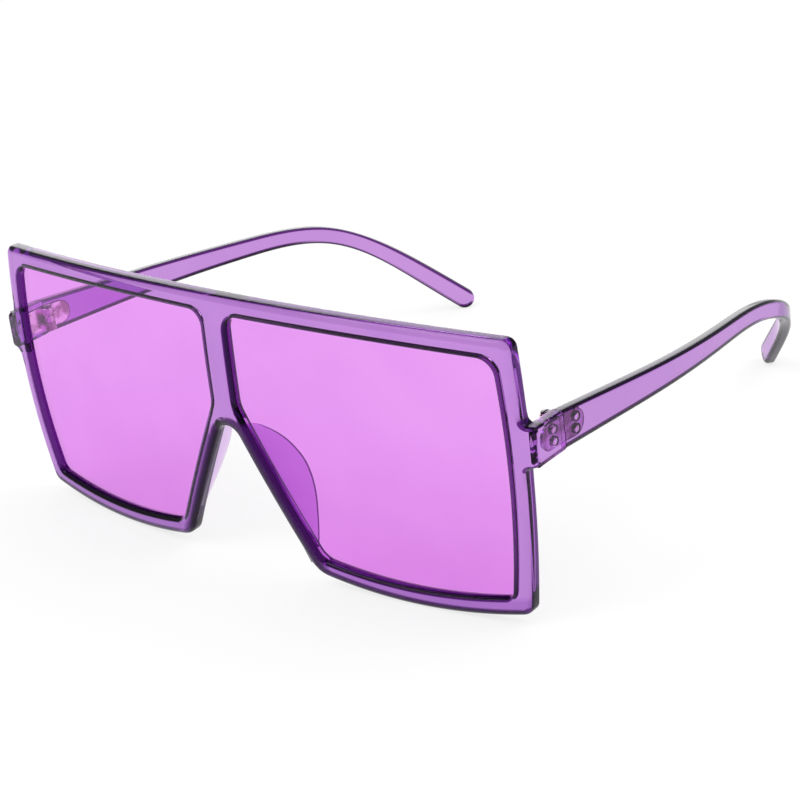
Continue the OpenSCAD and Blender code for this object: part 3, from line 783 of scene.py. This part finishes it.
def paintedShadeMasks(tree, between, depth=None):
    # where painted shade darkens the plastic, from 0 to 1, found from each point's own place and direction
    times, plus, minus, most, below, size, root = [partial(mathOf, tree, how) for how in (
        "MULTIPLY", "ADD", "SUBTRACT", "MAXIMUM", "LESS_THAN", "ABSOLUTE", "SQRT")]

    def softly(value, name, more=0):
        start, full = paintedShadeAt[name]
        return stepOf(tree, value, (more + start) * mm, (more + full) * mm)

    facing, place = splitOf(tree, "Normal"), splitOf(tree, "Object")
    across, upright = [stepOf(tree, size(facing[axis]), between[0] + more, between[1] + more)
                       for axis, more in (("X", paintedShadeAt["steeper"]), ("Z", 0))]
    # the temples get painted shade only on their edges that face up or down
    if depth is None:
        return {"edges": upright}
    width, z = size(place["X"]), place["Z"]

    # what lies in the plate, before the pads and end pieces
    rise = minus(z, f["height"] / 2 * mm)
    hollow = times(plus(times(width, width), times(rise, rise)), 1 / (2 * f["ball"] * mm))
    inPlate = below(minus(place["Y"], hollow), depth)

    # painted shade on the sideways edges, but not the outer one, which bulges; and on all edges that face
    # up or down
    middle, half = (footOut.y + browEnd.y) / 2, (browEnd.y - footOut.y) / 2
    share = times(minus(z, middle * mm), 1 / (half * mm))
    bulge = times(times(share, share), f["sideSwell"] * mm)
    lean = times(share, (browEnd.x - footOut.x) / 2 * mm)
    sideX = (footOut.x + browEnd.x) / 2 + f["sideSwell"] - paintedShadeAt["sideIn"]
    inside = below(minus(plus(width, bulge), lean), sideX * mm)
    around = times(most(upright, times(across, inside)), inPlate)

    # not on the lens side of the two nose legs, and only a little along the top of the brow
    out = outwardOf(nosePeak, footIn) * -1
    fromNose = plus(times(width, out.x), times(minus(z, nosePeak.y * mm), out.y))
    before, reach = paintedShadeAt["lensEdge"]
    lensSide = below(size(minus(fromNose, (f["rimNose"] - before) * mm)), reach * mm)
    leg = times(lensSide, below(z, (nosePeak.y - paintedShadeAt["lensEdgeBelow"]) * mm))
    brow = mathOf(tree, "GREATER_THAN", z, (browEnd.y - paintedShadeAt["browDown"]) * mm)
    around = times(times(around, minus(1, leg)), minus(1, times(brow, paintedShadeAt["browLess"])))

    # painted shade on the rear edge of each nose pad
    rear = mathOf(tree, "GREATER_THAN", size(facing["Y"]), paintedShadeAt["rearFacing"])
    behind = times(minus(1, inPlate), inside)

    # painted shade on the flats of the nose legs and of the foot rims, which are seen against their own
    # walls;
    # the foot rims' lower edge dips between the corners
    low = times(softly(z, "legTop"), inPlate)
    along = times(minus(width, footIn.x * mm), 1 / ((footOut.x - footIn.x) * mm))
    dip = times(times(along, minus(1, along)), 4 * f["footRise"] * mm)
    above = plus(minus(z, f["footRise"] * mm), dip)

    # the painted shade is darkest on the outermost edge, along the foot, up the nose legs and round the
    # arch
    archZ = nosePeak.y - f["archRadius"] / math.sin(math.atan2(footIn.x, nosePeak.y - footIn.y))
    over = minus(z, archZ * mm)
    ring = root(plus(times(width, width), times(over, over)))
    outer = most(times(softly(above, "footEdge"), inPlate),
                 times(softly(ring, "arch", f["archRadius"]), inPlate))
    return {"edges": most(around, times(rear, behind)), "pads": behind,
            "paintedLegShade": times(softly(fromNose, "paintedLegShade"), low), "foot": times(softly(above, "foot"), inPlate),
            "outer": most(outer, times(softly(fromNose, "legEdge"), low))}


def clearPlastic(name, dye, depth=None):
    mat, tree, out = newMaterial(name)
    skin = tree.nodes.new("ShaderNodeBsdfPrincipled")
    skin.inputs["Transmission Weight"].default_value = 1
    skin.inputs["IOR"].default_value = dye["ior"]
    skin.inputs["Specular Tint"].default_value = (*dye["gloss"], 1)
    tintAndShade = blendOf(tree, noiseOf(tree, *plasticSkin["cloud"]), dye["worn"], dye["faceTint"])
    if "footTint" in dye:
        # a little deeper towards the foot
        height = splitOf(tree, "Object")["Z"]
        foot = blendOf(tree, height, dye["footTint"], (1, 1, 1), [z * mm for z in dye["footSpan"]])
        tintAndShade = tintedBy(tree, tintAndShade, 1, foot, "MULTIPLY")
    # painted shade: darker edges, and on the front also darker nose legs, foot rims and outermost edge
    if "paintedEdgeShade" in dye:
        masks = paintedShadeMasks(tree, dye["paintedShadeFrom"], depth)
        edges = masks.pop("edges")
        for place, mask in masks.items():
            tintAndShade = tintedBy(tree, tintAndShade, mask, (*dye[place], 1), "MULTIPLY")
        tintAndShade = tintedBy(tree, tintAndShade, edges, (*dye["paintedEdgeShade"], 1))
        # the outermost edge gets darker painted shade once more, over the other edges too
        if "outer" in masks:
            tintAndShade = tintedBy(tree, tintAndShade, masks["outer"], (*dye["outer"], 1), "MULTIPLY")
    wear, ripples = noiseOf(tree, *plasticSkin["wear"]), noiseOf(tree, *plasticSkin["ripples"])
    tree.links.new(tintAndShade, skin.inputs["Base Color"])
    tree.links.new(spanOf(tree, wear, *dye["rough"]), skin.inputs["Roughness"])
    tree.links.new(bumpOf(tree, ripples, dye["ripple"], plasticSkin["rippleDepth"]), skin.inputs["Normal"])
    body = tree.nodes.new("ShaderNodeVolumeAbsorption")
    body.inputs["Color"].default_value = (*dye["dye"], 1)
    body.inputs["Density"].default_value = dye["strength"]
    tree.links.new(skin.outputs["BSDF"], out.inputs["Surface"])
    tree.links.new(body.outputs["Volume"], out.inputs["Volume"])
    return mat


def rubbedMetal(name, finish, stretch):
    mat, tree, out = newMaterial(name)
    skin = tree.nodes.new("ShaderNodeBsdfPrincipled")
    skin.inputs["Metallic"].default_value = 1
    grain = noiseOf(tree, *metalSkin["grain"], stretch)
    patches = noiseOf(tree, finish["patch"], metalSkin["patchDetail"])
    colour = blendOf(tree, patches, finish["dull"], finish["colour"], metalSkin["patchEdge"])
    tree.links.new(colour, skin.inputs["Base Color"])
    tree.links.new(spanOf(tree, grain, *finish["rough"]), skin.inputs["Roughness"])
    tree.links.new(bumpOf(tree, grain, *metalSkin["grainDepth"]), skin.inputs["Normal"])
    tree.links.new(skin.outputs["BSDF"], out.inputs["Surface"])
    return mat


plateDepth = (frontY + f["thick"] + paintedShadeAt["plateSpare"]) * mm
framePlastic = clearPlastic("clear_purple_frame", frameDyeAndShade, plateDepth)
lensPlastic = clearPlastic("orchid_lens", lensDye)
templePlastic = clearPlastic("clear_purple_temple", templeDyeAndShade)
leafMetal = rubbedMetal("hinge_metal", hingeMetal, (1, 8, 1))
dotMetal = rubbedMetal("stud_metal", studMetal, (1, 1, 1))
pinMetal = rubbedMetal("screw_metal", screwMetal, (1, 1, 6))
print("finishes done")


def coverWith(piece, finish):
    piece.data.materials.clear()
    piece.data.materials.append(finish)


for piece, node, body, slot, finish in (
        (plate, "front_frame", "front", "frame_plastic", framePlastic),
        (leftLens, "lens_left", "front", "lens_plastic", lensPlastic),
        (rightLens, "lens_right", "front", "lens_plastic", lensPlastic),
        (leftTemple, "temple_left", "left_temple", "temple_plastic", templePlastic),
        (rightTemple, "temple_right", "right_temple", "temple_plastic", templePlastic)):
    coverWith(piece, finish)
    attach(piece, body)
    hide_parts(node)

for node, left in metalLeft.items():
    for side, piece in (("left", left), ("right", mirroredCopy(left.name.replace("left", "right"), left))):
        finish = pinMetal if node == "hinge_screw" else dotMetal if node.endswith("studs") else leafMetal
        coverWith(piece, finish)
        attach(piece, side + "_temple" if node.startswith("temple") else "front")
        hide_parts(node + "_" + side)
print("pieces dressed")

# floor, world and lamps; the room's stops are a height and a shade, a lamp is its place, size and watts
studio = {"floorSize": 8.0, "floorCuts": 8, "floorDrop": 0.00002, "floor": (1.0, 1.0, 1.0),
          "bounce": (0.82, 0.82, 0.82), "glow": 0.75, "sky": 0.85,
          "room": ((0.0, 1.0), (0.12, 0.02), (0.75, 0.02), (0.9, 1.0)),
          "boxAt": (-0.594, 0.683, 0.423), "boxEdge": (0.85, 0.95), "gloss": (0.35, 2.6),
          "lamps": (((-0.5, -0.9, 1.3), 0.9, 6.0), ((0.9, 0.5, 1.2), 1.0, 5.0))}


def mixedShader(tree, factor, first, second):
    mix = tree.nodes.new("ShaderNodeMixShader")
    if isinstance(factor, float):
        mix.inputs["Fac"].default_value = factor
    else:
        tree.links.new(factor, mix.inputs["Fac"])
    tree.links.new(first.outputs[0], mix.inputs[1])
    tree.links.new(second.outputs[0], mix.inputs[2])
    return mix


def seenOr(tree, other, seen):
    # one shader for rays from the camera, in gloss or through glass, another for all other rays
    path = tree.nodes.new("ShaderNodeLightPath")
    total = path.outputs["Is Camera Ray"]
    for ray in ("Is Glossy Ray", "Is Transmission Ray"):
        total = mathOf(tree, "MAXIMUM", total, path.outputs[ray])
    return mixedShader(tree, total, other, seen)


def layFloor():
    bm = bmesh.new()
    bmesh.ops.create_grid(bm, x_segments=studio["floorCuts"], y_segments=studio["floorCuts"],
                          size=studio["floorSize"] / 2)
    mesh = bpy.data.meshes.new("studio_floor")
    bm.to_mesh(mesh)
    bm.free()
    floor = placed("studio_floor", mesh)
    floor.location.z = -studio["floorDrop"]
    mat, tree, out = newMaterial("studio_paper")
    skin, lit = tree.nodes.new("ShaderNodeBsdfDiffuse"), tree.nodes.new("ShaderNodeBsdfDiffuse")
    skin.inputs["Color"].default_value = (*studio["bounce"], 1)
    lit.inputs["Color"].default_value = (*studio["floor"], 1)
    # seen directly or in gloss and glass it is white paper, lit partly from below, with a soft shadow
    paper = mixedShader(tree, studio["glow"], lit, tree.nodes.new("ShaderNodeEmission"))
    tree.links.new(seenOr(tree, skin, paper).outputs["Shader"], out.inputs["Surface"])
    mesh.materials.append(mat)


def lightRoom():
    world = bpy.data.worlds.new("studio_light")
    bpy.context.scene.world = world
    world.use_nodes = True
    tree = world.node_tree
    tree.nodes.clear()
    out = tree.nodes.new("ShaderNodeOutputWorld")
    seen, soft = tree.nodes.new("ShaderNodeBackground"), tree.nodes.new("ShaderNodeBackground")
    soft.inputs["Color"].default_value = (1, 1, 1, 1)
    soft.inputs["Strength"].default_value = studio["sky"]
    # glass sees white up to just above the horizon, then a dim room, and white again overhead
    coords, steps = tree.nodes.new("ShaderNodeTexCoord"), tree.nodes.new("ShaderNodeValToRGB")
    while len(steps.color_ramp.elements) < len(studio["room"]):
        steps.color_ramp.elements.new(1)
    for stop, (height, shade) in zip(steps.color_ramp.elements, studio["room"]):
        stop.position, stop.color = height, (shade, shade, shade, 1)
    tree.links.new(splitOf(tree, "Generated")["Z"], steps.inputs["Fac"])
    # gloss sees a bright soft box behind the glasses
    towards = tree.nodes.new("ShaderNodeVectorMath")
    towards.operation = "DOT_PRODUCT"
    towards.inputs[1].default_value = Vector(studio["boxAt"]).normalized()
    tree.links.new(coords.outputs["Generated"], towards.inputs[0])
    box = spanOf(tree, towards.outputs["Value"], *studio["gloss"], studio["boxEdge"], "SMOOTHSTEP")
    # the camera sees plain white
    path = tree.nodes.new("ShaderNodeLightPath")
    around = tintedBy(tree, box, path.outputs["Is Transmission Ray"], steps.outputs["Color"])
    room = tintedBy(tree, around, path.outputs["Is Camera Ray"], (1, 1, 1, 1))
    tree.links.new(room, seen.inputs["Color"])
    tree.links.new(seenOr(tree, soft, seen).outputs["Shader"], out.inputs["Surface"])
    for i, (place, size, watts) in enumerate(studio["lamps"]):
        data = bpy.data.lights.new(f"soft_lamp_{i}", "AREA")
        data.shape, data.size, data.energy = "DISK", size, watts
        lamp = placed(data.name, data)
        lamp.location = place
        lamp.rotation_euler = (-Vector(place)).to_track_quat("-Z", "Y").to_euler()


layFloor()
lightRoom()
bpy.context.scene.view_settings.view_transform = "Standard"
print("floor and lamps done")
